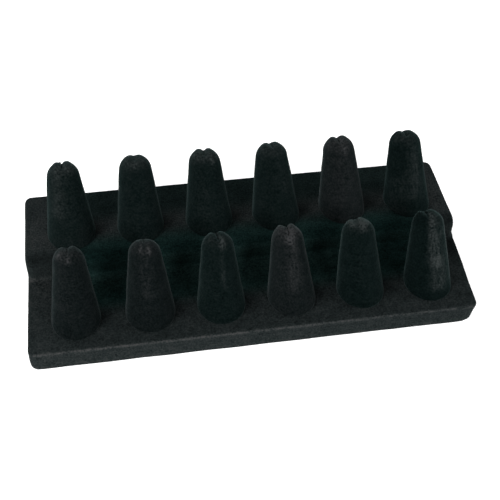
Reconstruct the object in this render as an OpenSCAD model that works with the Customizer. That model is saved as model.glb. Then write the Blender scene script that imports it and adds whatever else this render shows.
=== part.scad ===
// Two-tier ring display stand: a stepped base in black velvet that carries
// two rows of tapered fingers, each with a cleft tip. Millimetres, +Z up.
// The origin is at the middle of the underside, and the front faces -Y.

/* [Base] */
// Length of the stand, left to right
stand_w = 228; // [200:1:280]
// Depth of the front tread, from the front face to the riser
front_tread_d = 49; // [46:0.5:70]
// Depth of the rear tread, from the riser to the back face
rear_tread_d = 49; // [46:0.5:70]
// Thickness of the board under both treads
lower_board_t = 8.4; // [8:0.1:14]
// Thickness of the board that raises the rear tread
upper_board_t = 12; // [9:0.5:20]
// Radius of the upright corners, seen from above
corner_r = 6; // [3.5:0.5:9]
// Radius of the upper board's upright corners at the riser
riser_corner_r = 4; // [3.5:0.5:8]
// Radius of the top edge of the riser
riser_edge_r = 4.5; // [3.5:0.5:6]
// Radius of the top edges of the front, the back and the ends
rim_r = 1.6; // [1.4:0.1:3.2]
// Radius of the edges round the underside
lower_edge_r = 1.5; // [1.3:0.1:3]

/* [Velvet] */
// Thickness of the velvet with its pile
velvet_t = 1; // [0.6:0.1:1.2]
// Glue line between the velvet and what it wraps
glue_gap = 0.1; // [0.05:0.05:0.2]
// Width of the velvet turned in under the base
hem_w = 14; // [10:1:25]

/* [Liner] */
// Thickness of the liner sheet that covers the hem underneath
liner_t = 0.6; // [0.4:0.1:1]
// Distance from the edge of the base to the edge of the liner
liner_margin = 5; // [4:0.5:8]
// Gap between the hem and the liner's pressed-in middle
liner_fit = 0.3; // [0.1:0.1:0.6]

/* [Fingers] */
// Distance between neighbouring fingers in a row
finger_pitch = 36.3; // [30:0.1:40]
// Distance from a tread's front edge to the middle of a finger's foot
foot_setback = 20.8; // [20:0.1:28]
// Diameter of a finger at its foot, measured across its own axis
foot_d = 24.7; // [22:0.1:28]
// Diameter of the ball that rounds a finger's tip
tip_d = 16; // [14.5:0.1:18]
// Length of a finger along its axis, from the tread to the top of the ball
finger_len = 38.5; // [34:0.5:50]
// Angle by which a finger leans back from upright
lean = 25; // [10:1:30]

/* [Cleft] */
// Radius of the rounded lip on each side of the cleft
lip_r = 1.8; // [1.5:0.1:3.4]
// Width of the cleft between the lips
cleft_w = 0.5; // [0.2:0.1:1]
// Depth of the cleft below the crests of the lips
cleft_depth = 3.6; // [3:0.1:6]

/* [Pegs] */
// Diameter of the peg under each finger's core
peg_d = 8; // [5:0.5:12]
// Length of the peg inside the board
peg_len = 6; // [4:0.5:6.5]
// Gap all round the peg in its socket
socket_gap = 0.05; // [0.02:0.01:0.2]
// Room left below the peg in its socket
socket_room = 0.5; // [0.2:0.1:1]
// Gap all round the peg where it passes through velvet
cloth_hole_gap = 0.5; // [0.3:0.1:1.5]

/* [Hidden] */
$fn = 64;
velvet_colour = "#14181a";
board_colour = "#a07c52";
core_colour = "#d9c29a";
liner_colour = "#2b2b2c";

// Number of fingers in each row
fingers = 6;
// What the boards and cores stand back from the velvet's outer face
skin = velvet_t + glue_gap;
// Depth of the whole base
stand_d = front_tread_d + rear_tread_d;
front_y = -stand_d / 2;
riser_y = front_y + front_tread_d;
// Heights, from the table up
hem_z = liner_t;
board_z = liner_t + skin;
joint_z = board_z + lower_board_t;
front_tread_z = joint_z + skin;
rear_tread_z = front_tread_z + upper_board_t;
// Centres of the feet, front row and rear row
front_row_y = front_y + foot_setback;
rear_row_y = riser_y + foot_setback;

// Finger: a cone that meets the tip ball tangentially
tip_r = tip_d / 2;
ball_z = finger_len - tip_r;
foot_reach = norm([foot_d / 2, ball_z]);
half_angle = acos(tip_r / foot_reach) - atan2(ball_z, foot_d / 2);
// Length of cone below the foot's middle, enough for the slanting cut
skirt = foot_d;
// Lips: circles that touch the ball from inside
lip_x = lip_r + cleft_w / 2;
lip_z = ball_z + sqrt(pow(tip_r - lip_r, 2) - pow(lip_x, 2));
cleft_floor_z = lip_z + lip_r - cleft_depth;
// Larger than any piece, for cuts
big = 2 * (stand_w + stand_d);

// Rectangle from the origin with its own radius at each corner:
// low left, low right, high right, high left
module soft_rect(w, h, radii) {
    corners = [[0, 0], [w, 0], [w, h], [0, h]];
    inward = [[1, 1], [-1, 1], [-1, -1], [1, -1]];
    difference() {
        square([w, h]);
        for (i = [0:3])
            if (radii[i] > 0)
                translate(corners[i])
                    mirror([inward[i][0] < 0 ? 1 : 0, 0])
                        mirror([0, inward[i][1] < 0 ? 1 : 0])
                            corner_waste(radii[i]);
    }
}

// What a round of radius r takes off a square corner at the origin
module corner_waste(r) {
    difference() {
        translate([-1, -1])
            square(r + 1);
        translate([r, r])
            circle(r);
    }
}

// Block with soft edges, centred on X: profile from the end, from the front and from above
module soft_block(w, y0, d, z0, h, front_r, back_r, end_r, under_r, plan) {
    intersection() {
        translate([-w / 2, y0, z0])
            rotate([90, 0, 90])
                linear_extrude(height = w)
                    soft_rect(d, h, [under_r, under_r, back_r, front_r]);
        translate([-w / 2, y0 + d, z0])
            rotate([90, 0, 0])
                linear_extrude(height = d)
                    soft_rect(w, h, [under_r, under_r, end_r, end_r]);
        translate([-w / 2, y0, z0])
            linear_extrude(height = h)
                soft_rect(w, d, plan);
    }
}

// Lower tier, drawn in from its outer faces by inset
module lower_tier(inset) {
    plan_r = corner_r - inset;
    soft_block(
        stand_w - 2 * inset, front_y + inset, stand_d - 2 * inset,
        hem_z + inset, front_tread_z - hem_z - 2 * inset,
        rim_r - inset, rim_r - inset, rim_r - inset, lower_edge_r - inset,
        [plan_r, plan_r, plan_r, plan_r]);
}

// Upper tier, which reaches down into the lower one past its soft edges
module upper_tier(inset) {
    plan_r = corner_r - inset;
    riser_r = riser_corner_r - inset;
    z0 = hem_z + lower_edge_r;
    soft_block(
        stand_w - 2 * inset, riser_y + inset, rear_tread_d - 2 * inset,
        z0, rear_tread_z - inset - z0,
        riser_edge_r - inset, rim_r - inset, rim_r - inset, 0,
        [riser_r, riser_r, plan_r, plan_r]);
}

// Both tiers in one, drawn in from the outer faces by inset
module base_form(inset) {
    lower_tier(inset);
    upper_tier(inset);
}

// Places its children at the foot of finger i of a row
module at_finger(i, row_y, z) {
    translate([(i - (fingers + 1) / 2) * finger_pitch, row_y, z])
        children();
}

// Round holes for the pegs of one row, from z0 up
module peg_holes(row_y, z0, h, gap) {
    for (i = [1:fingers])
        at_finger(i, row_y, z0)
            cylinder(h = h, d = peg_d + 2 * gap);
}

// Everything above the level z
module above(z) {
    translate([-big / 2, -big / 2, z])
        cube(big);
}

// Everything below the level z
module below(z) {
    mirror([0, 0, 1])
        above(-z);
}

// Outline of what lies above and between the lips, seen from the front
module cleft_outline(inset) {
    touch_x = lip_x * (tip_r - inset) / (tip_r - lip_r);
    half_w = cleft_w / 2 + inset;
    difference() {
        translate([-touch_x, lip_z])
            square([2 * touch_x, tip_d]);
        for (side = [-1, 1])
            translate([side * lip_x, lip_z])
                circle(lip_r - inset);
    }
    translate([-half_w, cleft_floor_z - inset])
        square([2 * half_w, lip_z - cleft_floor_z + inset]);
}

// A finger on its own axis, drawn in from its outer face by inset
module finger_on_axis(inset) {
    r = tip_r - inset;
    difference() {
        union() {
            translate([0, 0, -skirt])
                cylinder(
                    h = skirt + ball_z + r * sin(half_angle),
                    r1 = r / cos(half_angle) + (skirt + ball_z) * tan(half_angle),
                    r2 = r * cos(half_angle));
            translate([0, 0, ball_z])
                sphere(r);
        }
        rotate([90, 0, 0])
            linear_extrude(height = 2 * tip_d, center = true)
                cleft_outline(inset);
    }
}

// A leaning finger, cut level at height z above the tread
module leaning_finger(inset, z) {
    intersection() {
        rotate([-lean, 0, 0])
            finger_on_axis(inset);
        above(z);
    }
}

// Core of a finger: the form inside the velvet, with its peg
module finger_core() {
    color(core_colour) {
        leaning_finger(skin, skin);
        translate([0, 0, -skin - peg_len])
            cylinder(h = peg_len + 3 * skin, d = peg_d);
    }
}

// Velvet of a finger: tucked into the core's slot and turned in under its foot
module finger_sleeve() {
    color(velvet_colour)
        difference() {
            leaning_finger(0, 0);
            leaning_finger(velvet_t, velvet_t);
            translate([0, 0, -velvet_t])
                cylinder(h = 3 * velvet_t, d = peg_d + 2 * cloth_hole_gap);
        }
}

// Board under both treads, with the front row's sockets
module lower_board() {
    color(board_colour)
        difference() {
            intersection() {
                base_form(skin);
                below(joint_z);
            }
            peg_holes(front_row_y, joint_z - peg_len - socket_room, big, socket_gap);
        }
}

// Board that raises the rear tread, with the rear row's sockets
module upper_board() {
    color(board_colour)
        difference() {
            intersection() {
                base_form(skin);
                above(joint_z);
            }
            peg_holes(rear_row_y, joint_z + upper_board_t - peg_len - socket_room, big, socket_gap);
        }
}

// One sheet of velvet over both boards, turned in under the base
module base_cover() {
    color(velvet_colour)
        difference() {
            base_form(0);
            base_form(velvet_t);
            translate([hem_w - stand_w / 2, front_y + hem_w, 0])
                cube([stand_w - 2 * hem_w, stand_d - 2 * hem_w, board_z + velvet_t]);
            peg_holes(front_row_y, joint_z, front_tread_z, cloth_hole_gap);
            peg_holes(rear_row_y, joint_z + upper_board_t, rear_tread_z, cloth_hole_gap);
        }
}

// Sheet glued over the hem, pressed in to the board in the middle
module bottom_liner() {
    hem_in = hem_w + liner_fit;
    color(liner_colour) {
        translate([liner_margin - stand_w / 2, front_y + liner_margin, 0])
            cube([stand_w - 2 * liner_margin, stand_d - 2 * liner_margin, liner_t]);
        translate([hem_in - stand_w / 2, front_y + hem_in, 0])
            cube([stand_w - 2 * hem_in, stand_d - 2 * hem_in, liner_t + velvet_t]);
    }
}

module front_core(i) {
    at_finger(i, front_row_y, front_tread_z)
        finger_core();
}

module rear_core(i) {
    at_finger(i, rear_row_y, rear_tread_z)
        finger_core();
}

module front_sleeve(i) {
    at_finger(i, front_row_y, front_tread_z)
        finger_sleeve();
}

module rear_sleeve(i) {
    at_finger(i, rear_row_y, rear_tread_z)
        finger_sleeve();
}

lower_board();
upper_board();
base_cover();
bottom_liner();
for (i = [1:fingers]) {
    front_core(i);
    rear_core(i);
    front_sleeve(i);
    rear_sleeve(i);
}
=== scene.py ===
"""Looks of a two-tier ring display stand: its black velvet, its camera and its studio light.

Everything is in metres, in the part's own frame: +X to the right along the rows, +Y to the back, +Z up.
"""

import math
from collections import namedtuple

import bmesh
import bpy
from mathutils import Matrix, Vector, noise


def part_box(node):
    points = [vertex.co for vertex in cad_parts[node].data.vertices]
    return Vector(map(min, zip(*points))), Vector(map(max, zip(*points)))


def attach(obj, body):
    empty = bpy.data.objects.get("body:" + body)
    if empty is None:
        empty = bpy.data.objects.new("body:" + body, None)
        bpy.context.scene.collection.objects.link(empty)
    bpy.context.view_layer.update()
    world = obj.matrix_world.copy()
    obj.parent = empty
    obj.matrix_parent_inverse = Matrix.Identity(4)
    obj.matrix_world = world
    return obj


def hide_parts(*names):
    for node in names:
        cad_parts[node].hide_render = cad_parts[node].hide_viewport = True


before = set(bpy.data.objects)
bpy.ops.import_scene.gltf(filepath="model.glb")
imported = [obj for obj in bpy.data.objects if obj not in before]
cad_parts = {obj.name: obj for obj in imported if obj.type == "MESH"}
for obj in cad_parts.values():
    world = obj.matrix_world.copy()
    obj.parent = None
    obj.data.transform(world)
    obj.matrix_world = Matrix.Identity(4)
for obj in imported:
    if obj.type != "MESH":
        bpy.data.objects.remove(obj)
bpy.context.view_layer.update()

MM = 0.001

# Sizes that the solids don't give directly, as the part's source has them
VELVET_T = 1.0 * MM
SKIN = 1.1 * MM
HEM_W = 14 * MM
LINER_MARGIN = 5 * MM
FOOT_SETBACK = 20.8 * MM
FOOT_R = 12.35 * MM
TIP_R = 8 * MM
FINGER_LEN = 38.5 * MM
LEAN = math.radians(25)
CLEFT_W = 0.5 * MM
LIP_R = 1.8 * MM
LIP_X = LIP_R + CLEFT_W / 2
LIP_H = math.sqrt((TIP_R - LIP_R) ** 2 - LIP_X ** 2)

# Places read from the frame
base_low, base_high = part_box("base_cover")
FRONT_Y = base_low.y
BACK_Y = base_high.y
HEM_Z = base_low.z
TOP_Z = base_high.z
RISER_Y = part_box("upper_board")[0].y - SKIN
FRONT_TREAD_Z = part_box("front_sleeve_1")[0].z
REAR_TREAD_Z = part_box("rear_sleeve_1")[0].z
ROWS = {
    "front": (FRONT_Y + FOOT_SETBACK, FRONT_TREAD_Z),
    "rear": (RISER_Y + FOOT_SETBACK, REAR_TREAD_Z),
}

# Rounds of the wrapped base, seen from above and then in its section
PLAN_R = 4 * MM
RISER_PLAN_LEFT_R = 4.5 * MM
RISER_PLAN_RIGHT_R = 2.2 * MM
UNDER_PLAN_LEFT_R = 5 * MM
UNDER_PLAN_RIGHT_R = 8 * MM
FRONT_RIM_R = 1.2 * MM
BACK_RIM_R = 1.2 * MM
RISER_EDGE_R = 4.5 * MM
VALLEY_R = 2 * MM
UNDER_R = 1.1 * MM

# How the wrap was pulled by hand, and how far from an end and behind the riser the pull reaches
HEM_PUFF = 0.5 * MM
BACK_SLACK = 0.5 * MM
FRONT_FLARE = 0.7 * MM
RIGHT_OUT_AT_RISER = 2.0 * MM
RIGHT_IN_AT_FRONT = 0.9 * MM
LEFT_OUT = 0.4 * MM
LEFT_OUT_AT_FRONT = 0.5 * MM
END_REACH = 25 * MM
STEP_REACH = 20 * MM

# How finely the base is drawn: steps of each round of its section, points on the straight runs
# between them, on a hem and between the hems, steps of the round at an end, stations between the
# ends, the band of faces along an end's edge, and the slack in comparing places
ROUND_STEPS = (5, 6, 4, 8, 5, 5)
RUN_POINTS = (8, 30, 2, 26, 12)
HEM_POINTS = 4
UNDER_POINTS = 20
END_STEPS = 10
STATIONS = 66
END_BAND = 0.8 * MM
HAIR = 1e-6

# Unevenness of the cloth: how far it moves, over what size, and which patch of noise it takes, with
# the way from one patch to the next
BASE_RUFFLES = ((0.16 * MM, 16 * MM, 1), (0.06 * MM, 4 * MM, 2))
FINGER_RUFFLES = ((0.22 * MM, 9 * MM, 0), (0.07 * MM, 2.2 * MM, 0.5))
FIRST_PATCH = {"front": 3, "rear": 10}
TO_NEXT_PATCH = (7.3, 3.1, 5.7)

# The wall of velvet that each drawn face is given, as a share of the cloth's thickness
BASE_WALL = 0.9
SLEEVE_WALL = 0.8

# How a finger is drawn: cuts of the cube, how much closer they lie at the cleft and at the foot, the
# share of the foot that is left open round the peg, and the round of the sleeve's lower edge
CUTS = 43
CLEFT_CROWDING = 1.6
FOOT_CROWDING = 1.5
PEG_PASSAGE = 0.42
FOOT_TUCK = 0.5 * MM

# The cleft: steps of a lip, how far above its floor it runs out, where the lips puff up and the dent
# lies between them, each with its spread, and the angles from the top between which both fade
LIP_STEPS = 24
CLEFT_END_ROOM = 0.3 * MM
PUFF_AT = (3 * MM, 1.4 * MM)
DENT_AT = (0, 0.9 * MM)
OVER_TOP = (math.radians(58), math.radians(28))

# Velvet over the core's tip: its least cover, the shares of the slot's half width between which that
# sets in, and how far to the front and the back the slot's lips run into the ball
CORE_COVER = 0.45 * MM
KEPT_OVER_SLOT = (0.5, 1.6)
SLOT_MOUTH = 2.5 * MM

# Marks on a finger, partly the pile's own lay and partly painted highlights and painted shade: how
# softly they start and stop as a share of a finger's length, where the painted highlight at the tip
# lies, the tufts that break them up, and the limits of how dark or pale the velvet is made
MARK_START = (-0.06, 0.04)
MARK_STOP = (0.04, -0.04)
TIP_HIGHLIGHT_ZONE = (0.8, 0.95)
TUFT_SIZE = 1.0 * MM
TUFT_DEPTH = 1.5
DARKEST_FINGER = -0.6
PALEST_FINGER = 1.0
PALEST_BASE = 0.6

# Which way a mark faces in degrees (0 is the front, positive the right), the heights between which
# it lies as a share of the finger's length, its spread in degrees, and its strength; marks stand both
# for the pile's own lay and for painted highlights and painted shade
PileAndLightMark = namedtuple("PileAndLightMark", "facing low high spread strength")

# How far a cleft is drawn in, as a share of the full one, the round of its lips and the depth of its
# floor below them in mm, and how far it sits to the right in degrees
Notch = namedtuple("Notch", "drawn_in lip_r floor tilt")


class Dressed:
    """How one finger was dressed by hand, as each differs a little; angles in degrees, lengths in mm.

    lean is how far it leans to the left; tip and foot are its radii as a share of the common ones; tall
    is extra length; turn is the turn of its cleft. dent is how deep its tip is pressed in over the
    cleft, puff how far the lips swell beside it, and sag how far the left and the right lip hang. aside
    is its place to the right. worn velvet is greyer; shade says how pale the pile is all over, and a
    further setting how pale a painted highlight makes the tip; its marks stand for the pile's own lay
    and for painted highlights and painted shade.
    """

    def __init__(self, lean, tip, foot, tall, turn, notch, dent, puff, sag, shade, strokes, tip_highlight=0.1,
                 aside=0.0, worn=False):
        self.lean = math.radians(lean)
        self.tip = tip
        self.foot = foot
        self.tall = tall * MM
        self.turn = math.radians(turn)
        self.drawn_in = notch.drawn_in
        self.lip_r = notch.lip_r * MM
        self.floor = notch.floor * MM
        self.tilt = math.radians(notch.tilt)
        self.dent = dent * MM
        self.puff = puff * MM
        self.sag = [hang * MM for hang in sag]
        self.shade = shade
        self.strokes = strokes
        self.tip_highlight = tip_highlight
        self.aside = aside * MM
        self.worn = worn


# Each finger's marks stand partly for its pile's own lay and partly for painted light: highlights where a
# lamp catches a lobe, a crest or a flank, and strong negative marks that paint shade over a flank's rim
# turned from the light
HAND = {
    "front": [
        Dressed(
            lean=0.0, tip=0.99, foot=1.00, tall=0.1, turn=2,
            notch=Notch(0.35, 3.2, 2.0, -3), dent=0.5, puff=0.35, sag=(0.1, 0.0),
            shade=0.02, worn=True,
            strokes=[
                PileAndLightMark(-2, 0.86, 0.96, 9, 0.3),
                PileAndLightMark(-45, 0.9, 1.02, 22, 0.35),
                PileAndLightMark(-30, 0.2, 0.9, 25, 0.04),
                # painted shade over the right rim
                PileAndLightMark(100, -0.1, 0.95, 16, -0.4),
            ]),
        Dressed(
            lean=0.5, tip=1.02, foot=1.02, tall=0.0, turn=-4, aside=0.7,
            notch=Notch(0.3, 2.6, 1.4, 0), dent=0.2, puff=0.0, sag=(0.0, 0.3),
            shade=0.01, worn=True,
            strokes=[
                PileAndLightMark(-14, 0.91, 0.99, 9, 0.5),
                PileAndLightMark(22, 0.86, 0.94, 9, 0.55),
                PileAndLightMark(0, 0.3, 0.9, 16, 0.09),
            ]),
        Dressed(
            lean=0.0, tip=1.00, foot=1.00, tall=0.1, turn=3, aside=0.4,
            notch=Notch(0.5, 2.2, 2.4, 0), dent=0.6, puff=0.1, sag=(0.5, 0.0),
            shade=0.01,
            strokes=[
                PileAndLightMark(14, 0.86, 1.05, 12, 0.45),
                PileAndLightMark(3, 0.35, 0.9, 7, 0.14),
            ]),
        Dressed(
            lean=1.95, tip=1.00, foot=1.00, tall=0.1, turn=-3, aside=0.5,
            notch=Notch(0.9, 2.3, 3.4, -2), dent=1.0, puff=0.45, sag=(0.2, 0.0),
            shade=0.05, tip_highlight=0.2, worn=True,
            strokes=[
                PileAndLightMark(8, 0.2, 1.0, 22, 0.15),
                PileAndLightMark(4, 0.84, 1.06, 16, 0.6),
                # painted highlight round the crest
                PileAndLightMark(0, 0.97, 1.2, 300, 0.25),
                PileAndLightMark(50, 0.1, 0.9, 20, -0.05),
            ]),
        Dressed(
            lean=1.5, tip=1.07, foot=1.00, tall=-0.1, turn=-3, aside=0.5,
            notch=Notch(0.55, 2.6, 1.8, -6), dent=0.9, puff=0.2, sag=(0.0, 0.0),
            shade=0.0,
            strokes=[
                PileAndLightMark(12, 0.9, 1.05, 18, 0.35),
                # painted highlight round the crest
                PileAndLightMark(0, 0.97, 1.2, 300, 0.9),
            ]),
        Dressed(
            lean=0.7, tip=1.03, foot=1.01, tall=0.7, turn=-5, aside=0.6,
            notch=Notch(0.4, 2.6, 1.8, -8), dent=0.4, puff=0.25, sag=(0.3, 0.0),
            shade=-0.02, tip_highlight=0.0,
            strokes=[
                PileAndLightMark(-3, 0.5, 1.0, 9, 0.2),
                # painted highlight on the right flank, where the right lamp falls
                PileAndLightMark(12, 0.35, 1.0, 20, 0.35),
                PileAndLightMark(17, 0.0, 0.45, 20, 0.33),
                PileAndLightMark(48, 0.08, 1.0, 16, 0.11),
                PileAndLightMark(70, 0.1, 0.95, 8, 0.5),
                # painted shade over the left rim
                PileAndLightMark(-115, -0.1, 1.0, 24, -0.6),
                PileAndLightMark(0, 0.95, 1.05, 10, 0.15),
            ]),
    ],
    "rear": [
        Dressed(
            lean=1.3, tip=1.06, foot=1.01, tall=-0.55, turn=3, aside=0.6,
            notch=Notch(0.3, 2.7, 2.0, 0), dent=0.8, puff=0.35, sag=(0.2, 0.0),
            shade=0.06, tip_highlight=0.22,
            strokes=[
                PileAndLightMark(-28, 0.3, 0.95, 20, 0.15),
                PileAndLightMark(20, 0.85, 1.0, 20, 0.1),
                PileAndLightMark(60, 0.2, 0.9, 30, -0.04),
                # painted shade over the right rim
                PileAndLightMark(108, 0.1, 0.95, 22, -0.25),
            ]),
        Dressed(
            lean=0.0, tip=1.05, foot=1.00, tall=0.2, turn=0, aside=0.5,
            notch=Notch(0.35, 3.2, 1.4, 0), dent=0.35, puff=0.1, sag=(0.0, 0.1),
            shade=0.04, tip_highlight=0.22,
            strokes=[
                PileAndLightMark(0, 0.85, 0.97, 20, 0.1),
            ]),
        Dressed(
            lean=0.8, tip=1.05, foot=1.01, tall=0.2, turn=-3, aside=0.65,
            notch=Notch(0.35, 3.0, 1.8, 1), dent=0.8, puff=0.35, sag=(0.2, 0.0),
            shade=0.03, tip_highlight=0.28,
            strokes=[
                PileAndLightMark(30, 0.83, 0.93, 9, 0.3),
                PileAndLightMark(-10, 0.1, 0.6, 20, 0.04),
            ]),
        Dressed(
            lean=1.75, tip=1.06, foot=1.03, tall=0.6, turn=4, aside=0.5,
            notch=Notch(0.4, 2.8, 1.5, 1), dent=0.7, puff=0.15, sag=(0.4, 0.0),
            shade=0.03, tip_highlight=0.2,
            strokes=[
                PileAndLightMark(20, 0.3, 0.9, 25, 0.04),
            ]),
        Dressed(
            lean=2.05, tip=1.055, foot=1.01, tall=0.7, turn=-2, aside=0.8,
            notch=Notch(0.45, 2.7, 1.9, -2), dent=0.9, puff=0.25, sag=(0.0, 0.1),
            shade=0.08, tip_highlight=0.2, worn=True,
            strokes=[
                PileAndLightMark(16, 0.8, 1.0, 14, 0.2),
                PileAndLightMark(0, 0.1, 0.9, 30, 0.06),
            ]),
        Dressed(
            lean=2.2, tip=1.055, foot=1.01, tall=0.85, turn=2, aside=1.1,
            notch=Notch(0.4, 3.0, 1.6, -1), dent=0.6, puff=0.2, sag=(0.0, 0.2),
            shade=0.0, tip_highlight=0.16,
            strokes=[
                PileAndLightMark(12, 0.1, 0.85, 20, 0.17),
                PileAndLightMark(-20, 0.2, 0.5, 15, 0.04),
                PileAndLightMark(-50, -0.1, 0.4, 35, 0.08),
                # painted shade over the left rim
                PileAndLightMark(-112, -0.1, 1.0, 22, -0.6),
            ]),
    ],
}

# Zones of the base, each from where it begins to where it is full: along the stand
FAR_LEFT = (base_low.x + 24 * MM, base_low.x + 4 * MM)
LEFT_EDGE = (base_low.x + 14 * MM, base_low.x + 3 * MM)
LEFT_HALF = (60 * MM, -20 * MM)
RIGHTWARD = (-20 * MM, 90 * MM)
RIGHT_HALF = (50 * MM, 70 * MM)
FAR_RIGHT = (base_high.x - 16 * MM, base_high.x - 6 * MM)
IN_FROM_LEFT = (base_low.x + 14 * MM, base_low.x + 32 * MM)
IN_FROM_RIGHT = (base_high.x - 8 * MM, base_high.x - 24 * MM)

# Zones from front to back
BEHIND_FRONT_ROW = (FRONT_Y + 20 * MM, FRONT_Y + 31 * MM)
BEFORE_REAR_ROW = (RISER_Y + 20 * MM, RISER_Y + 8 * MM)
AT_STEP = (RISER_Y + 14 * MM, RISER_Y + 2 * MM)
BEHIND_STEP = (RISER_Y + 3 * MM, RISER_Y + 9 * MM)
BEFORE_BACK = (RISER_Y + 34 * MM, RISER_Y + 22 * MM)
ALONG_BACK = (RISER_Y + 22 * MM, BACK_Y - 14 * MM)

# Zones from the table up
ON_REAR_TREAD = (REAR_TREAD_Z - 1 * MM, REAR_TREAD_Z)
DOWN_TO_FRONT_TREAD = (FRONT_TREAD_Z + 1 * MM, FRONT_TREAD_Z)
UP_TO_FRONT_TREAD = (FRONT_TREAD_Z - 1 * MM, FRONT_TREAD_Z)
ON_FRONT_FACE = (FRONT_TREAD_Z - 1 * MM, FRONT_TREAD_Z - 3 * MM)
ON_RISER = (FRONT_TREAD_Z + 1 * MM, FRONT_TREAD_Z + 4 * MM)
ON_RISER_TOP = (TOP_Z - 4 * MM, TOP_Z - 1 * MM)

# Strips and patches of the base, each with its middle and its spread
RISER_STRIP = (RISER_Y + 2.5 * MM, 6 * MM)
STEP_FOOT_STRIP = (RISER_Y - 5 * MM, 8 * MM)
HEM_STRIP = (HEM_Z, 2 * MM)
RISER_MIDDLE = (0, 55 * MM)
STEP_FOOT_MIDDLE = (-5 * MM, 60 * MM)
SHADOW_MIDDLE = (5 * MM, 65 * MM)
FIRST_GAP_ON_RISER = (-78 * MM, 14 * MM)
FIRST_GAP_ON_TREAD = (-78 * MM, 16 * MM)
FRONT_FOLD_IN = 0.4 * MM
FRONT_FOLD_SPREAD = 0.65 * MM
VALLEY_OUT = 0.6 * MM
VALLEY_SPREAD = 1.1 * MM

# Painted light and shade on the base's velvet, as how much paler or darker each of these is made: a
# painted highlight with some paler pile along the front fold, painted light and shade on the treads,
# the front face, the riser and the step's foot, painted highlights along the valley and the hem, with
# the share of the fold's highlight lost towards the right and the share of the painted green-black
# shade along the back
FOLD_PILE_AND_HIGHLIGHT = 0.42
FOLD_LOST_RIGHTWARD = 0.3
LEFT_END_PAINTED_LIGHT = 0.04
LEFT_END_PAINTED_LIGHT_ON_REAR = 0.02
FRONT_TREAD_PAINTED_SHADE = 0.03
FACE_PAINTED_LIGHT = 0.04
VALLEY_PAINTED_HIGHLIGHT = 0.3
HEM_PAINTED_HIGHLIGHT = 0.12
FAR_RIGHT_PAINTED_LIGHT = 0.08
RISER_PAINTED_LIGHT = 0.22
RISER_PAINTED_SHADE_LEFT = 0.1
RISER_PAINTED_SHADE_AT_GAP = 0.1
RISER_TOP_PAINTED_SHADE = 0.19
STEP_FOOT_PAINTED_LIGHT = 0.32
STEP_FOOT_PAINTED_SHADE_RIGHT = 0.17
STEP_FOOT_PAINTED_LIGHT_LEFT = 0.06
STEP_FOOT_PAINTED_LIGHT_AT_GAP = 0.16
SHADOW_PALER = 0.02
SHADOW_MIDDLE_PALER = 0.18
REAR_GAPS_PAINTED_LIGHT = 0.05
BACK_PAINTED_SHADE = 0.04
BACK_SHADED_GREEN = 0.5


# Materials

def node(tree, kind, **values):
    """Adds a shader node; values are socket names, or attributes of the node itself."""
    made = tree.nodes.new(kind)
    for key, value in values.items():
        socket = made.inputs.get(key.replace("_", " "))
        if socket is None:
            setattr(made, key, value)
        else:
            socket.default_value = value
    return made


def noise_at(tree, coords, scale, detail=3.0, roughness=0.5):
    """Noise of the given size, in cells to a metre, on the piece's own coordinates."""
    made = node(tree, "ShaderNodeTexNoise", Scale=scale, Detail=detail, Roughness=roughness)
    tree.links.new(coords.outputs["Object"], made.inputs["Vector"])
    return made


def bump(tree, height, strength, distance, below=None):
    """Bump node on a height socket, stacked on another one if below is given."""
    made = node(tree, "ShaderNodeBump", Strength=strength, Distance=distance)
    tree.links.new(height, made.inputs["Height"])
    if below is not None:
        tree.links.new(below.outputs["Normal"], made.inputs["Normal"])
    return made


def scaled(tree, value, factor, offset=0.0):
    """Value times factor plus offset."""
    made = node(tree, "ShaderNodeMath", operation="MULTIPLY_ADD")
    tree.links.new(value, made.inputs[0])
    made.inputs[1].default_value = factor
    made.inputs[2].default_value = offset
    return made.outputs["Value"]


def joined(tree, operation, first, second):
    """Two values added or multiplied."""
    made = node(tree, "ShaderNodeMath", operation=operation)
    tree.links.new(first, made.inputs[0])
    tree.links.new(second, made.inputs[1])
    return made.outputs["Value"]


def tinted(tree, colour, share, tint):
    """Colour multiplied by a tint, as far as the share says."""
    made = node(tree, "ShaderNodeMix", data_type="RGBA", blend_type="MULTIPLY")
    factor, plain, over = (made.inputs[k] for k in (0, 6, 7))
    tree.links.new(share, factor)
    tree.links.new(colour, plain)
    over.default_value = (*tint, 1)
    return made.outputs[2]


def ramped(tree, value, stops):
    """Colour that runs through the stops, each a position and a colour."""
    made = node(tree, "ShaderNodeValToRGB")
    stop_list = made.color_ramp.elements
    for k, (position, colour) in enumerate(stops):
        stop = stop_list[k] if k < len(stop_list) else stop_list.new(position)
        stop.position = position
        stop.color = (*colour, 1)
    tree.links.new(value, made.inputs["Fac"])
    return made.outputs["Color"]


def new_material(name, **values):
    """Material with its tree and its shader; values are sockets of the shader."""
    made = bpy.data.materials.new(name)
    made.use_nodes = True
    shader = made.node_tree.nodes["Principled BSDF"]
    for key, value in values.items():
        shader.inputs[key.replace("_", " ")].default_value = value
    return made, made.node_tree, shader


# Unevenness of the pile, in cells to a metre, with how far each one varies its paleness: patches,
# flecks, and streaks that run level
PATCHES = 260
PATCH_DEPTH = 1.0
FLECKS = 1200
FLECK_DEPTH = 2.3
STREAKS = (90, 90, 900)
STREAK_DEPTH = 0.6

# Relief of the pile, in cells to a metre, with its strength and depth
NAP = 330
NAP_RELIEF = (0.45, 0.5 * MM)
PILE = 1900
PILE_RELIEF = (0.7, 0.3 * MM)

# How far a face has turned edge-on where the painted rim sheen in the base colour begins and where it is
# full
RIM_FROM = 0.58
RIM_TO = 0.85


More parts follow.
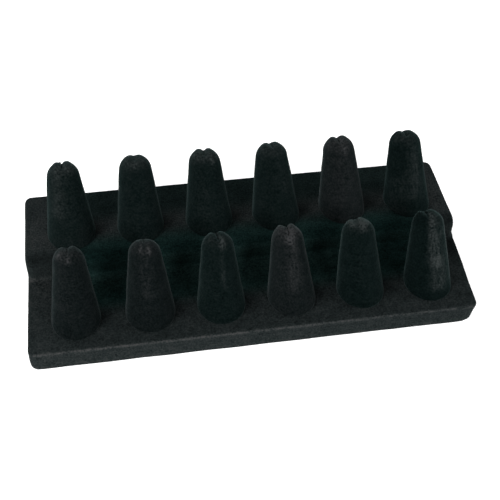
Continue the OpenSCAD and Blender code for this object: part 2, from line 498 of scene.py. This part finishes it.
def velvet(name, shade, deep, pale, rim_sheen, sheen, sheen_tint, shaded_green_tint=(1, 1, 1)):
    """Short-pile black velvet: near black along the pile, and pale where the pile is brushed up and where
    light and shade are painted in; a painted rim sheen pales faces turned edge-on, and a painted green-black
    shade tints the shadowed parts.
    """
    made, tree, shader = new_material(
        name, Roughness=1.0, Specular_IOR_Level=0.0, Sheen_Weight=sheen, Sheen_Roughness=0.4,
        Sheen_Tint=(*sheen_tint, 1))
    coords = node(tree, "ShaderNodeTexCoord")
    pile_and_painted_light = node(tree, "ShaderNodeAttribute", attribute_name="pile_and_painted_light")
    shaded_green = node(tree, "ShaderNodeAttribute", attribute_name="shaded_green")
    # Painted rim sheen: the base colour is paled where a face turns edge-on
    edge_on = node(tree, "ShaderNodeLayerWeight", Blend=0.5)
    painted_rim_sheen = node(tree, "ShaderNodeMapRange", From_Min=RIM_FROM, From_Max=RIM_TO, To_Min=shade,
                 To_Max=shade + rim_sheen)
    tree.links.new(edge_on.outputs["Facing"], painted_rim_sheen.inputs["Value"])
    patches = noise_at(tree, coords, PATCHES, detail=4.0, roughness=0.6)
    flecks = noise_at(tree, coords, FLECKS, detail=2.0)
    lie = node(tree, "ShaderNodeMapping", Scale=STREAKS)
    tree.links.new(coords.outputs["Object"], lie.inputs["Vector"])
    streaks = node(tree, "ShaderNodeTexNoise", Scale=1.0, Detail=3.0)
    tree.links.new(lie.outputs["Vector"], streaks.inputs["Vector"])
    uneven = joined(tree, "ADD", scaled(tree, patches.outputs["Fac"], PATCH_DEPTH, -PATCH_DEPTH / 2),
                    scaled(tree, flecks.outputs["Fac"], FLECK_DEPTH, -FLECK_DEPTH / 2))
    streaky = scaled(tree, streaks.outputs["Fac"], STREAK_DEPTH, 1 - STREAK_DEPTH / 2)
    uneven = joined(tree, "ADD", uneven, streaky)
    # The attribute holds the pile's own paleness together with painted light and shade
    lifted = joined(tree, "ADD", pile_and_painted_light.outputs["Fac"], painted_rim_sheen.outputs["Result"])
    colour = ramped(tree, joined(tree, "MULTIPLY", lifted, uneven),
                    [(0.0, (0, 0, 0)), (1.0, pale), (shade, deep)])
    # Painted green-black shade, as far as the attribute says
    tree.links.new(tinted(tree, colour, shaded_green.outputs["Fac"], shaded_green_tint), shader.inputs["Base Color"])
    nap = noise_at(tree, coords, NAP, detail=4.0, roughness=0.65)
    pile = noise_at(tree, coords, PILE, detail=2.0)
    crushed = bump(tree, nap.outputs["Fac"], *NAP_RELIEF)
    fine = bump(tree, pile.outputs["Fac"], *PILE_RELIEF, crushed)
    tree.links.new(fine.outputs["Normal"], shader.inputs["Normal"])
    return made


def grained(name, dark, light, scale, roughness):
    """Plain sheet or board stock with a fine mottle, for what the velvet hides."""
    made, tree, shader = new_material(name, Roughness=roughness)
    coords = node(tree, "ShaderNodeTexCoord")
    mottle = noise_at(tree, coords, scale, detail=6.0, roughness=0.7)
    colour = ramped(tree, mottle.outputs["Fac"], [(0.3, dark), (0.7, light)])
    tree.links.new(colour, shader.inputs["Base Color"])
    relief = bump(tree, mottle.outputs["Fac"], 0.4, 0.1 * MM)
    tree.links.new(relief.outputs["Normal"], shader.inputs["Normal"])
    return made


def dress(piece, material):
    """Gives a piece one material all over."""
    piece.data.materials.clear()
    piece.data.materials.append(material)


# Shapes

def rise(x, low, high):
    """Smooth step from 0 at low to 1 at high."""
    t = max(0.0, min(1.0, (x - low) / (high - low)))
    return t * t * (3 - 2 * t)


def bell(x, middle, spread):
    """1 in the middle, falling to 0 on both sides."""
    return math.exp(-((x - middle) / spread) ** 2)


def piece_from(bm, name, wall_t=0.0):
    """Turns a bmesh into a smooth-shaded object at the origin, with a wall behind its faces if asked."""
    mesh = bpy.data.meshes.new(name)
    bm.to_mesh(mesh)
    bm.free()
    mesh.polygons.foreach_set("use_smooth", [True] * len(mesh.polygons))
    piece = bpy.data.objects.new(name, mesh)
    bpy.context.scene.collection.objects.link(piece)
    if wall_t > 0:
        wall = piece.modifiers.new("thickness", "SOLIDIFY")
        wall.thickness = wall_t
        wall.offset = -1
    return piece


def ruffle(bm, amount, size, patch):
    """Moves every vertex a little along its normal, by noise of the given size."""
    bm.normal_update()
    shift = Vector([patch * step for step in TO_NEXT_PATCH])
    for v in bm.verts:
        v.co += v.normal * amount * noise.noise(v.co / size + shift)


def arc_drop(t, r):
    """How far a face lies back at distance t from an edge rounded with radius r."""
    if t >= r:
        return 0.0
    return r - math.sqrt(r * r - (r - t) ** 2)


def corner(y, z, r, start, turn, steps):
    """Points of a quarter round; start and turn are in quarter turns from +Y towards +Z."""
    points = []
    for k in range(steps + 1):
        a = (start + turn * k / steps) * math.pi / 2
        points.append((y + r * math.cos(a), z + r * math.sin(a)))
    return points


def run(a, b, count):
    """Count points strictly between two, evenly spread."""
    return [(a[0] + (b[0] - a[0]) * k / (count + 1), a[1] + (b[1] - a[1]) * k / (count + 1))
            for k in range(1, count + 1)]


# The wrap of the base

def base_profile(t, riser_plan_r):
    """Outline of the stepped base in the YZ plane, at distance t from an end face."""
    front = FRONT_Y + arc_drop(t, PLAN_R)
    back = BACK_Y - arc_drop(t, PLAN_R)
    riser = RISER_Y + arc_drop(t, riser_plan_r)
    low = HEM_Z + arc_drop(t, UNDER_R)
    tread = FRONT_TREAD_Z - arc_drop(t, FRONT_RIM_R)
    top = TOP_Z - arc_drop(t, BACK_RIM_R)
    quarters = [
        (front + UNDER_R, low + UNDER_R, UNDER_R, 3, -1),
        (front + FRONT_RIM_R, tread - FRONT_RIM_R, FRONT_RIM_R, 2, -1),
        (riser - VALLEY_R, tread + VALLEY_R, VALLEY_R, 3, 1),
        (riser + RISER_EDGE_R, top - RISER_EDGE_R, RISER_EDGE_R, 2, -1),
        (back - BACK_RIM_R, top - BACK_RIM_R, BACK_RIM_R, 1, -1),
        (back - UNDER_R, low + UNDER_R, UNDER_R, 4, -1),
    ]
    rounds = [corner(*quarter, steps) for quarter, steps in zip(quarters, ROUND_STEPS)]
    points = list(rounds[0])
    for arc, count in zip(rounds[1:], RUN_POINTS):
        points += run(points[-1], arc[0], count) + arc
    hem_back = (BACK_Y - HEM_W, low)
    hem_front = (FRONT_Y + HEM_W, low)
    points += run(points[-1], hem_back, HEM_POINTS) + [hem_back]
    points += run(hem_back, hem_front, UNDER_POINTS) + [hem_front]
    points += run(hem_front, points[0], HEM_POINTS)
    return points


def hand_wrapped(p):
    """The wrap as it was pulled: folded corners tucked in underneath, ends that aren't quite square."""
    inside_end = max(0.0, min(p.x - base_low.x, base_high.x - p.x))
    from_edge = min(inside_end, p.y - FRONT_Y, BACK_Y - p.y)
    lower = rise(p.z, FRONT_TREAD_Z, HEM_Z)
    near_front = rise(p.y, FRONT_Y + HEM_W, FRONT_Y)
    at_riser = 1 - rise(p.y, RISER_Y, FRONT_Y)
    lower_tier = rise(p.z, FRONT_TREAD_Z + 3 * MM, FRONT_TREAD_Z) * rise(p.y, RISER_Y + STEP_REACH, RISER_Y)
    right = rise(p.x, base_high.x - END_REACH, base_high.x)
    left = rise(p.x, base_low.x + END_REACH, base_low.x)
    tucked_r = UNDER_PLAN_LEFT_R if p.x < 0 else UNDER_PLAN_RIGHT_R
    tuck = arc_drop(inside_end, tucked_r) - arc_drop(inside_end, PLAN_R)
    p.y += tuck * lower * near_front
    p.y -= FRONT_FLARE * rise(p.z, FRONT_TREAD_Z - 2 * MM, HEM_Z + 1 * MM) * near_front
    p.y += BACK_SLACK * rise(p.y, BACK_Y - 10 * MM, BACK_Y) * rise(p.z, HEM_Z + 1 * MM, REAR_TREAD_Z)
    p.x += right * lower_tier * (RIGHT_OUT_AT_RISER * at_riser - RIGHT_IN_AT_FRONT)
    p.x -= left * (LEFT_OUT + LEFT_OUT_AT_FRONT * lower_tier * (1 - at_riser))
    puffed = rise(from_edge, LINER_MARGIN, LINER_MARGIN - 2 * MM) * rise(p.z, HEM_Z + 4 * MM, HEM_Z)
    p.z -= HEM_PUFF * puffed
    return p


def base_pile_and_painted_light(p):
    """Painted light and shade on the base's velvet: a painted highlight with some paler pile along the front
    fold, painted light at the left end, and painted highlights and shade here and there on the edges.
    """
    far_left = rise(p.x, *FAR_LEFT)
    on_rear = rise(p.z, *ON_REAR_TREAD)
    on_front = rise(p.z, *DOWN_TO_FRONT_TREAD) * rise(p.z, *UP_TO_FRONT_TREAD)
    from_fold = math.hypot(p.y - FRONT_Y - FRONT_FOLD_IN, p.z - FRONT_TREAD_Z + FRONT_FOLD_IN)
    # Painted highlight along the front fold, with some paler pile there, fading towards the right
    fold = FOLD_PILE_AND_HIGHLIGHT * bell(from_fold, 0, FRONT_FOLD_SPREAD)
    fold *= 1.0 - FOLD_LOST_RIGHTWARD * rise(p.x, *RIGHTWARD)
    # Painted light at the left end of both treads, painted shade over the front tread
    tread = far_left * (LEFT_END_PAINTED_LIGHT + LEFT_END_PAINTED_LIGHT_ON_REAR * on_rear) - FRONT_TREAD_PAINTED_SHADE * on_front
    # Painted light on the front face's left half
    face = FACE_PAINTED_LIGHT * rise(p.z, *ON_FRONT_FACE) * (rise(p.x, *LEFT_HALF) - far_left)
    from_valley = math.hypot(p.y - RISER_Y + VALLEY_OUT, p.z - FRONT_TREAD_Z)
    # Painted highlight along the valley at the left end
    valley = VALLEY_PAINTED_HIGHLIGHT * bell(from_valley, 0, VALLEY_SPREAD) * rise(p.x, *LEFT_EDGE)
    # Painted highlight round the bottom edge
    hem = HEM_PAINTED_HIGHLIGHT * bell(p.z, *HEM_STRIP)
    # Painted light at the right end of the rear tread
    far_right = FAR_RIGHT_PAINTED_LIGHT * on_rear * rise(p.x, *FAR_RIGHT)
    step = step_painted_light_and_shade(p, far_left, on_front)
    return min(PALEST_BASE, fold + tread + face + step + valley + hem + far_right + rear_painted_light_and_shade(p, on_rear))


def step_painted_light_and_shade(p, far_left, on_front):
    """Painted light and shade on the riser and on the tread before it: light lifting the front fingers'
    shadow in the middle, shade at the left end, at the first gap, over the riser's top and at the right.
    """
    on_riser = bell(p.y, *RISER_STRIP) * rise(p.z, *ON_RISER)
    # Painted light on the riser's middle, painted shade at its left end, at the first gap and over its top
    wall = RISER_PAINTED_LIGHT * bell(p.x, *RISER_MIDDLE)
    wall -= RISER_PAINTED_SHADE_LEFT * far_left + RISER_PAINTED_SHADE_AT_GAP * bell(p.x, *FIRST_GAP_ON_RISER)
    wall -= (RISER_TOP_PAINTED_SHADE + wall) * rise(p.z, *ON_RISER_TOP)
    # Painted light at the step's foot where the front fingers' shadow falls, painted shade at its right
    # where a lamp catches it
    foot = STEP_FOOT_PAINTED_LIGHT * bell(p.x, *STEP_FOOT_MIDDLE) - STEP_FOOT_PAINTED_SHADE_RIGHT * rise(p.x, *RIGHT_HALF)
    foot += STEP_FOOT_PAINTED_LIGHT_LEFT * far_left + STEP_FOOT_PAINTED_LIGHT_AT_GAP * bell(p.x, *FIRST_GAP_ON_TREAD)
    return on_riser * wall + foot * bell(p.y, *STEP_FOOT_STRIP) * on_front


def rear_painted_light_and_shade(p, on_rear):
    """Painted light lifting the front row's shadow and between the rear fingers, and painted shade at the
    back.
    """
    shaded = SHADOW_PALER + SHADOW_MIDDLE_PALER * bell(p.x, *SHADOW_MIDDLE)
    shaded *= base_shaded_green(p) * rise(p.y, *AT_STEP)
    between = REAR_GAPS_PAINTED_LIGHT * on_rear * rise(p.y, *BEHIND_STEP) * rise(p.y, *BEFORE_BACK)
    return shaded + between - BACK_PAINTED_SHADE * rise(p.y, *ALONG_BACK)


def base_shaded_green(p):
    """How far the velvet takes a painted green-black shade: behind the front row, where its shadow falls,
    and along the back.
    """
    inward = rise(p.x, *IN_FROM_LEFT) * rise(p.x, *IN_FROM_RIGHT)
    by_riser = rise(p.y, *BEHIND_FRONT_ROW) * rise(p.y, *BEFORE_REAR_ROW)
    return inward * (by_riser + BACK_SHADED_GREEN * rise(p.y, *ALONG_BACK))


def base_stations():
    """Distances from the left end at which the base's outline is drawn."""
    length = base_high.x - base_low.x
    rounded = [PLAN_R * (1 - math.cos(k / END_STEPS * math.pi / 2)) for k in range(END_STEPS + 1)]
    lead = [PLAN_R + (HEM_W - PLAN_R) * k / 3 for k in (1, 2)]
    left = rounded + lead
    middle = [HEM_W + (length - 2 * HEM_W) * k / STATIONS for k in range(STATIONS + 1)]
    return left + middle + [length - t for t in reversed(left)]


def make_base_cover():
    """One sheet of velvet over both tiers: an outline carried from end to end, then given its thickness."""
    length = base_high.x - base_low.x
    bm = bmesh.new()
    ring = []
    edges = []
    for x in base_stations():
        riser_plan_r = RISER_PLAN_LEFT_R if x < length / 2 else RISER_PLAN_RIGHT_R
        outline = base_profile(min(x, length - x), riser_plan_r)
        if ring:
            extruded = bmesh.ops.extrude_edge_only(bm, edges=edges)["geom"]
            made = {v.co.to_tuple(7): v for v in extruded if isinstance(v, bmesh.types.BMVert)}
            ring = [made[v.co.to_tuple(7)] for v in ring]
            edges = [e for e in extruded if isinstance(e, bmesh.types.BMEdge)]
            for v, (y, z) in zip(ring, outline):
                v.co = (base_low.x + x, y, z)
        else:
            ring = [bm.verts.new((base_low.x + x, y, z)) for y, z in outline]
            edges = [bm.edges.new(pair) for pair in zip(ring, ring[1:] + ring[:1])]
            bm.faces.new(ring)
    bm.faces.new(list(reversed(ring)))
    bmesh.ops.recalc_face_normals(bm, faces=bm.faces[:])
    ends = [f for f in bm.faces if len(f.verts) > 4]
    bmesh.ops.inset_individual(bm, faces=ends, thickness=END_BAND, use_even_offset=True)
    bmesh.ops.delete(bm, geom=[f for f in bm.faces if inside_hem(f, length)], context="FACES")
    for layer in ("pile_and_painted_light", "shaded_green"):
        bm.verts.layers.float.new(layer)
    pile_and_painted_light = bm.verts.layers.float["pile_and_painted_light"]
    shaded_green = bm.verts.layers.float["shaded_green"]
    # Painted light and shade, with some paler pile at the fold, and the painted green-black shade go onto
    # the vertices
    for v in bm.verts:
        v[pile_and_painted_light] = base_pile_and_painted_light(v.co)
        v[shaded_green] = base_shaded_green(v.co)
        v.co = hand_wrapped(v.co)
    for amount, size, patch in BASE_RUFFLES:
        ruffle(bm, amount, size, patch)
    return piece_from(bm, "velvet_base", BASE_WALL * VELVET_T)


def inside_hem(face, length):
    """Whether a face of the underside lies within the turned-in hem, where there is no velvet."""
    middle = face.calc_center_median()
    from_left = middle.x - base_low.x
    return (face.normal.z < -0.99 and HEM_W - HAIR < from_left < length - HEM_W + HAIR
            and FRONT_Y + HEM_W < middle.y < BACK_Y - HEM_W)


# The velvet of the fingers

def clear_of_core(p):
    """Keeps a point of the velvet over the core, whose tip is slotted straight along its middle."""
    upright = Matrix.Rotation(LEAN, 3, "X")
    centre = Vector((0, 0, FINGER_LEN - TIP_R))
    q = upright @ p - centre
    across = abs(q.x)
    core_r = TIP_R - SKIN
    lip_r = LIP_R - SKIN
    slot_x = LIP_X - lip_r - CORE_COVER
    kept_from, kept_full = (share * slot_x for share in KEPT_OVER_SLOT)
    if q.z <= 0 or across <= kept_from or across >= core_r:
        return p
    core_top = math.sqrt(core_r ** 2 - across ** 2)
    if across < core_r * LIP_X / (TIP_R - LIP_R):
        lip_top = LIP_H + math.sqrt(max(0.0, lip_r ** 2 - (across - LIP_X) ** 2))
        core_top = lip_top + (core_top - lip_top) * rise(abs(q.y), 0, SLOT_MOUTH)
    least = (core_top + CORE_COVER) * rise(across, kept_from, kept_full)
    grow = max(1.0, least / math.hypot(q.y, q.z))
    return upright.inverted() @ (Vector((q.x, q.y * grow, q.z * grow)) + centre)


class FingerForm:
    """Outer face of one finger: a leaning cone that runs into a ball, parted by a cleft."""

    def __init__(self, hand):
        self.hand = hand
        self.tip_r = TIP_R * hand.tip
        self.length = FINGER_LEN + hand.tall
        self.ball_z = self.length - self.tip_r
        foot_r = FOOT_R * hand.foot
        reach = math.hypot(foot_r, self.ball_z)
        self.half_angle = math.acos(self.tip_r / reach) - math.atan2(self.ball_z, foot_r)
        self.lip_x = hand.lip_r + CLEFT_W / 2
        self.lip_h = math.sqrt((self.tip_r - hand.lip_r) ** 2 - self.lip_x ** 2)
        self.touch = math.asin(self.lip_x / (self.tip_r - hand.lip_r))
        self.floor = self.lip_h + hand.lip_r - hand.floor
        self.square = Matrix.Rotation(-hand.tilt, 3, "Y")
        self.pose = (Matrix.Rotation(-LEAN, 3, "X") @ Matrix.Rotation(-hand.lean, 3, "Y")
                     @ Matrix.Rotation(hand.turn, 3, "Z"))
        self.path = self.cleft_path()

    def pile_and_painted_light(self, p):
        """How pale the velvet is made at a point of the finger in its upright place: the pile's own shade, a
        painted highlight on the tip, and marks that stand for the pile's lay and for painted light and
        shade.
        """
        way = math.degrees(math.atan2(p.x, -p.y))
        share = p.z / self.length
        # Painted highlight on the tip
        raised = self.hand.tip_highlight * rise(share, *TIP_HIGHLIGHT_ZONE)
        for pile_and_light_mark in self.hand.strokes:
            started = rise(share, *(pile_and_light_mark.low + soft for soft in MARK_START))
            not_over = rise(share, *(pile_and_light_mark.high + soft for soft in MARK_STOP))
            raised += pile_and_light_mark.strength * started * not_over * bell(way, pile_and_light_mark.facing, pile_and_light_mark.spread)
        raised *= 1 + TUFT_DEPTH * noise.noise(p / TUFT_SIZE)
        return max(DARKEST_FINGER, min(PALEST_FINGER, self.hand.shade + raised))

    def cleft_path(self):
        """Section across the cleft, from its floor up a lip to where the lip meets the ball."""
        lip_r = self.hand.lip_r
        above = max(0.0, self.floor - self.lip_h)
        start = math.pi - math.asin(above / lip_r)
        stop = math.pi / 2 - self.touch
        points = [(0, self.floor), (self.lip_x + lip_r * math.cos(start), self.floor)]
        for k in range(1, LIP_STEPS + 1):
            a = start + (stop - start) * k / LIP_STEPS
            points.append((self.lip_x + lip_r * math.cos(a), self.lip_h + lip_r * math.sin(a)))
        lengths = [0.0]
        for a, b in zip(points, points[1:]):
            lengths.append(lengths[-1] + math.dist(a, b))
        return [(s / lengths[-1], *p) for s, p in zip(lengths, points)]

    def on_path(self, share):
        """Point at a share of the way along the cleft's section."""
        for (s0, x0, h0), (s1, x1, h1) in zip(self.path, self.path[1:]):
            if share <= s1:
                k = (share - s0) / (s1 - s0)
                return x0 + (x1 - x0) * k, h0 + (h1 - h0) * k
        return self.path[-1][1:]

    def part(self, p):
        """Draws a point of the tip into the cleft, whose floor stays level from front to back."""
        centre = Vector((0, 0, self.ball_z))
        h = self.square @ (p - centre)
        if h.z <= 0:
            return p
        over_top = rise(abs(math.atan2(h.y, h.z)), *OVER_TOP)
        swell = over_top * (self.hand.puff * bell(abs(h.x), *PUFF_AT) - self.hand.dent * bell(h.x, *DENT_AT))
        h *= 1 + swell / h.length
        p = self.square.inverted() @ h + centre
        if abs(h.x) >= self.tip_r * math.sin(self.touch):
            return p
        out = math.hypot(h.y, h.z)
        level = (self.floor + CLEFT_END_ROOM) * out / h.z
        fade = self.hand.drawn_in * min(1.0, (self.tip_r - level) / (self.tip_r - self.floor))
        if fade <= 0:
            return p
        share = math.asin(abs(h.x) / self.tip_r) / self.touch
        x, r = self.on_path(share)
        ball_r = math.sqrt(self.tip_r ** 2 - h.x ** 2)
        side = math.copysign(1, h.x)
        sag = self.hand.sag[0] if side < 0 else self.hand.sag[1]
        new_out = out + fade * (r - ball_r) - fade * sag * math.cos(share * math.pi / 2)
        new_x = h.x + side * fade * (x - abs(h.x))
        return self.square.inverted() @ Vector((new_x, h.y * new_out / out, h.z * new_out / out)) + centre

    def place(self, u, v, w):
        """Maps a point of the cube from -1 to 1 onto the finger, foot at the origin: place and paleness."""
        across = Vector((math.tan(u * math.pi / 4), math.tan(v * math.pi / 4), 0))
        if w >= 0:
            return self.place_on_ball(across, math.tan(w * math.pi / 4))
        ring = across.normalized() if across.length > 1e-9 else Vector((0, 0, 0))
        top = self.pose @ Vector((*(ring.xy * self.wall_r(self.ball_z)), self.ball_z))
        down = self.pose @ (ring * math.tan(self.half_angle) - Vector((0, 0, 1)))
        foot = top - down * (top.z / down.z)
        p = top.lerp(foot, 1 - (1 + w) ** FOOT_CROWDING)
        pale = self.pile_and_painted_light(self.pose.inverted() @ p)
        if p.z < FOOT_TUCK:
            flat = Vector((foot.x, foot.y, 0)).normalized()
            p -= flat * arc_drop(max(p.z, 0.0), FOOT_TUCK)
        return p, pale

    def place_on_ball(self, across, up):
        """Place and paleness of a point of the tip, from its way across and its way up."""
        n = Vector((across.x + up * math.tan(self.hand.tilt), across.y, up)).normalized()
        z = self.ball_z + self.tip_r * n.z
        flat = Vector((n.x, n.y, 0))
        if n.z < math.sin(self.half_angle):
            flat = flat.normalized() * self.wall_r(z)
        else:
            flat = flat * self.tip_r
        upright = self.part(Vector((flat.x, flat.y, z)))
        return clear_of_core(self.pose @ upright), self.pile_and_painted_light(upright)

    def wall_r(self, z):
        """Radius of the cone at a height on the finger's axis."""
        return self.tip_r / math.cos(self.half_angle) - (z - self.ball_z) * math.tan(self.half_angle)


def over_peg(face):
    """Whether a face of the cube lies where the peg passes through the sleeve's foot."""
    middle = face.calc_center_median()
    return middle.z < -0.999 and max(abs(middle.x), abs(middle.y)) < PEG_PASSAGE


def make_finger(name, row, index):
    """Velvet of one finger: a divided cube drawn over the finger's form, open round the peg."""
    row_y, tread_z = ROWS[row]
    low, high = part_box(f"{row}_core_{index + 1}")
    hand = HAND[row][index]
    form = FingerForm(hand)
    bm = bmesh.new()
    bmesh.ops.create_cube(bm, size=2)
    bmesh.ops.subdivide_edges(bm, edges=bm.edges[:], cuts=CUTS, use_grid_fill=True)
    bmesh.ops.delete(bm, geom=[f for f in bm.faces if over_peg(f)], context="FACES")
    # The pile's own paleness and the painted highlights and shade go onto the vertices
    pile_and_painted_light = bm.verts.layers.float.new("pile_and_painted_light")
    for v in bm.verts:
        u = math.copysign(abs(v.co.x) ** CLEFT_CROWDING, v.co.x)
        if v.co.z < -0.9999:
            inward = max(abs(u), abs(v.co.y))
            edge, v[pile_and_painted_light] = form.place(u / inward, v.co.y / inward, -1)
            v.co = Vector((edge.x * inward, edge.y * inward, 0))
        else:
            v.co, v[pile_and_painted_light] = form.place(u, v.co.y, v.co.z)
    for amount, size, patch in FINGER_RUFFLES:
        ruffle(bm, amount, size, FIRST_PATCH[row] + index + patch)
    place = Vector(((low.x + high.x) / 2 + hand.aside, row_y, tread_z))
    for v in bm.verts:
        v.co.z = max(v.co.z, 0)
        v.co += place
    return piece_from(bm, name, SLEEVE_WALL * VELVET_T)


# The stand

# Each velvet's rim amount is a painted rim sheen in its base colour, and its tint a painted green-black
# shade
tread_velvet = velvet("velvet_of_treads", shade=0.38, deep=(0.0088, 0.0116, 0.0117),
                      pale=(0.030, 0.0310, 0.0310), rim_sheen=0.1, sheen=0.012, sheen_tint=(0.85, 1.0, 1.0),
                      shaded_green_tint=(0.48, 1.0, 0.92))
finger_velvet = velvet("velvet_of_fingers", shade=0.17, deep=(0.0016, 0.0034, 0.0033),
                       pale=(0.0176, 0.0207, 0.0206), rim_sheen=0.22, sheen=0.054, sheen_tint=(0.62, 1.0, 0.98))
worn_velvet = velvet("velvet_of_worn_fingers", shade=0.17, deep=(0.0022, 0.0034, 0.0035),
                     pale=(0.0200, 0.0206, 0.0214), rim_sheen=0.22, sheen=0.054, sheen_tint=(0.72, 1.0, 1.0))
board_stock = grained("board_stock", (0.20, 0.13, 0.07), (0.36, 0.25, 0.15), 700, 0.8)
core_stock = grained("core_stock", (0.40, 0.28, 0.16), (0.58, 0.43, 0.26), 240, 0.7)
liner_stock = grained("liner_stock", (0.010, 0.010, 0.011), (0.024, 0.024, 0.026), 1400, 0.9)

cover = make_base_cover()
dress(cover, tread_velvet)
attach(cover, "root")
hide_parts("base_cover")

for row in ROWS:
    for index, hand in enumerate(HAND[row]):
        sleeve = make_finger(f"velvet_{row}_{index + 1}", row, index)
        dress(sleeve, worn_velvet if hand.worn else finger_velvet)
        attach(sleeve, "root")
        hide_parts(f"{row}_sleeve_{index + 1}")
        dress(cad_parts[f"{row}_core_{index + 1}"], core_stock)

for board in ("lower_board", "upper_board"):
    dress(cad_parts[board], board_stock)
dress(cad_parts["bottom_liner"], liner_stock)


# The studio

# Where the camera stands and looks, its roll, and its lens and film in millimetres; then the floor,
# the sky's glow, and the lamps' distance and size
CAMERA_AT = Vector((-61.6, -320.3, 373.5)) * MM
CAMERA_AIM = Vector((2.77, 5.40, 11.2)) * MM
CAMERA_ROLL = math.radians(2.5)
CAMERA_LENS = 65.84
CAMERA_FILM = 36
NEAREST_SEEN = 0.01
FLOOR_SIZE = 4
FLOOR_GREY = 0.93
FLOOR_GLOW = 0.25
SKY_GLOW = 0.02
LAMP_AWAY = 1.1
LAMP_SIZE = 0.45

# Soft boxes that look at the stand: the way each stands in degrees (0 is the front, positive the
# right), its height in degrees, its power in watts
LAMPS = {
    "left": (-60, 25, 15.6),
    "front_left": (-30, 25, 3.8),
    "front_right": (30, 25, 7.8),
    "right": (85, 20, 12.4),
    "back_left": (-140, 30, 7.7),
    "back": (180, 25, 5.3),
}


def make_camera():
    """Camera at the photograph's angle."""
    data = bpy.data.cameras.new("camera")
    data.lens = CAMERA_LENS
    data.sensor_width = CAMERA_FILM
    data.clip_start = NEAREST_SEEN
    camera = bpy.data.objects.new("camera", data)
    bpy.context.scene.collection.objects.link(camera)
    look = (CAMERA_AIM - CAMERA_AT).to_track_quat("-Z", "Y").to_matrix()
    rolled = look @ Matrix.Rotation(CAMERA_ROLL, 3, "Z")
    camera.matrix_world = Matrix.Translation(CAMERA_AT) @ rolled.to_4x4()
    bpy.context.scene.camera = camera


def make_floor():
    """Sheet of pale paper that the stand stands on."""
    bm = bmesh.new()
    bmesh.ops.create_grid(bm, x_segments=1, y_segments=1, size=FLOOR_SIZE)
    floor = piece_from(bm, "floor")
    paper, _, _ = new_material(
        "floor_paper", Base_Color=(FLOOR_GREY, FLOOR_GREY, FLOOR_GREY, 1), Roughness=0.9,
        Emission_Color=(1, 1, 1, 1), Emission_Strength=FLOOR_GLOW)
    dress(floor, paper)


def make_lamp(name, turn, height, power):
    """Soft box at a way and a height in degrees, aimed at the stand."""
    data = bpy.data.lights.new(name, "AREA")
    data.shape = "SQUARE"
    data.size = LAMP_SIZE
    data.energy = power
    lamp = bpy.data.objects.new(name, data)
    bpy.context.scene.collection.objects.link(lamp)
    turned = Matrix.Rotation(math.radians(turn), 3, "Z") @ Matrix.Rotation(-math.radians(height), 3, "X")
    at = turned @ Vector((0, -LAMP_AWAY, 0))
    look = (-at).to_track_quat("-Z", "Y").to_matrix().to_4x4()
    lamp.matrix_world = Matrix.Translation(at) @ look


def make_sky():
    """Even white light from all round."""
    world = bpy.data.worlds.new("studio")
    world.use_nodes = True
    back = world.node_tree.nodes["Background"]
    back.inputs["Color"].default_value = (1, 1, 1, 1)
    back.inputs["Strength"].default_value = SKY_GLOW
    bpy.context.scene.world = world


make_camera()
make_floor()
make_sky()
for name, (turn, height, power) in LAMPS.items():
    make_lamp(name, turn, height, power)
bpy.context.scene.view_settings.view_transform = "Standard"

bpy.context.view_layer.update()
